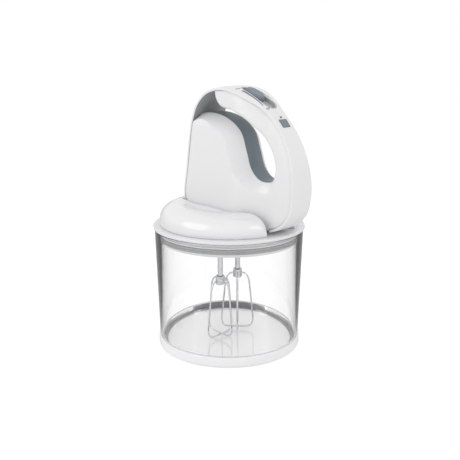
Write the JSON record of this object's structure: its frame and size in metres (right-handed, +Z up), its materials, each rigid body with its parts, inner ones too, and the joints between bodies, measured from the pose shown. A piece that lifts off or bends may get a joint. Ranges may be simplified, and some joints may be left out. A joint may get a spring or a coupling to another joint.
{
  "type": "hand mixer",
  "caption": "Hand mixer with a loop handle, docked on the domed lid of a clear mixing bowl, with two wire beaters inside.",
  "frame": {"origin": "centre of the rubber foot's underside, on the bowl's axis, on the table", "axes": "+Z up along the bowl's axis; +X from the mixer's nose to its handle; the beaters stand side by side along Y"},
  "size_m": [0.1862, 0.17, 0.2949],
  "materials": {
    "white_plastic": "semi-gloss moulded",
    "gloss_white": "polished moulded",
    "clear_plastic": "clear polished",
    "grey_seal": "soft satin",
    "grey_rubber": "matt",
    "slate_grip": "soft-touch satin",
    "pale_plastic": "satin",
    "black_plastic": "satin",
    "circuit_board": "satin",
    "cell_wrap": "satin wrap",
    "nylon": "satin",
    "brass": "turned",
    "motor_steel": "plated",
    "core_steel": "laminated, copper wound",
    "magnet": "sintered",
    "chrome": "polished"
  },
  "bodies": {
    "base": {"base_tray": "white_plastic", "foot_pad": "grey_rubber"},
    "bowl": {"bowl": "clear_plastic"},
    "lid": {"lid": "white_plastic", "lid_seal": "grey_seal", "lid_dome": "gloss_white"},
    "mixer": {"outer_band": "white_plastic", "housing_left": "white_plastic", "housing_right": "white_plastic", "underside_plate": "white_plastic", "grip_strip": "slate_grip", "housing_screw_1": "motor_steel", "housing_screw_2": "motor_steel", "housing_screw_3": "motor_steel", "housing_screw_4": "motor_steel", "slot_tray": "pale_plastic", "speed_board": "circuit_board", "button_switch": "black_plastic", "led_lens": "black_plastic", "charge_jack": "black_plastic", "battery_cell_left": "cell_wrap", "battery_cell_right": "cell_wrap", "battery_holder": "black_plastic", "gearbox_frame": "nylon", "gearbox_cover": "nylon", "gearbox_screw_1": "motor_steel", "gearbox_screw_2": "motor_steel", "lower_bush_left": "brass", "lower_bush_right": "brass", "upper_bush_left": "brass", "upper_bush_right": "brass", "nose_bearing": "brass", "front_bearing": "brass", "rear_bearing": "brass", "motor_can": "motor_steel", "motor_cap": "black_plastic", "motor_magnet": "magnet", "motor_brush_left": "magnet", "motor_brush_right": "magnet"},
    "speed_knob": {"speed_knob": "slate_grip", "speed_carriage": "black_plastic"},
    "power_button": {"power_button": "slate_grip"},
    "rotor": {"motor_shaft": "motor_steel", "rotor_core": "core_steel", "commutator": "brass", "worm": "motor_steel"},
    "beater_left": {"worm_wheel_left": "nylon", "spindle_left": "motor_steel", "beater_shaft_left": "chrome", "beater_collar_left": "chrome", "beater_wires_left": "chrome"},
    "beater_right": {"worm_wheel_right": "nylon", "spindle_right": "motor_steel", "beater_shaft_right": "chrome", "beater_collar_right": "chrome", "beater_wires_right": "chrome"}
  },
  "joints": [
    {"name": "bowl_lift", "type": "slide", "parent": "base", "child": "bowl", "axis": [0, 0, 1], "range_m": [0, 0.05]},
    {"name": "lid_lift", "type": "slide", "parent": "bowl", "child": "lid", "axis": [0, 0, 1], "range_m": [0, 0.15]},
    {"name": "mixer_lift", "type": "slide", "parent": "lid", "child": "mixer", "axis": [0, 0, 1], "range_m": [0, 0.045]},
    {"name": "speed_slide", "type": "slide", "parent": "mixer", "child": "speed_knob", "axis": [0.901, 0, -0.4339], "range_m": [0, 0.0155]},
    {"name": "power_press", "type": "slide", "parent": "mixer", "child": "power_button", "axis": [-0.7773, 0, -0.6292], "range_m": [0, 0.0012], "stiffness_N_per_m": 500, "springref_m": -0.0005},
    {"name": "beater_left_spin", "type": "hinge", "parent": "mixer", "child": "beater_left", "pos_m": [0, -0.015, 0.1], "axis": [0, 0, 1], "continuous": true},
    {"name": "beater_right_spin", "type": "hinge", "parent": "mixer", "child": "beater_right", "pos_m": [0, 0.015, 0.1], "axis": [0, 0, 1], "continuous": true},
    {"name": "rotor_spin", "type": "hinge", "parent": "mixer", "child": "rotor", "pos_m": [0, 0, 0.1678], "axis": [1, 0, 0], "continuous": true}
  ],
  "couplings": [
    {"joint": "beater_right_spin", "follows": "beater_left_spin", "ratio": -1},
    {"joint": "rotor_spin", "follows": "beater_left_spin", "ratio": 10}
  ]
}
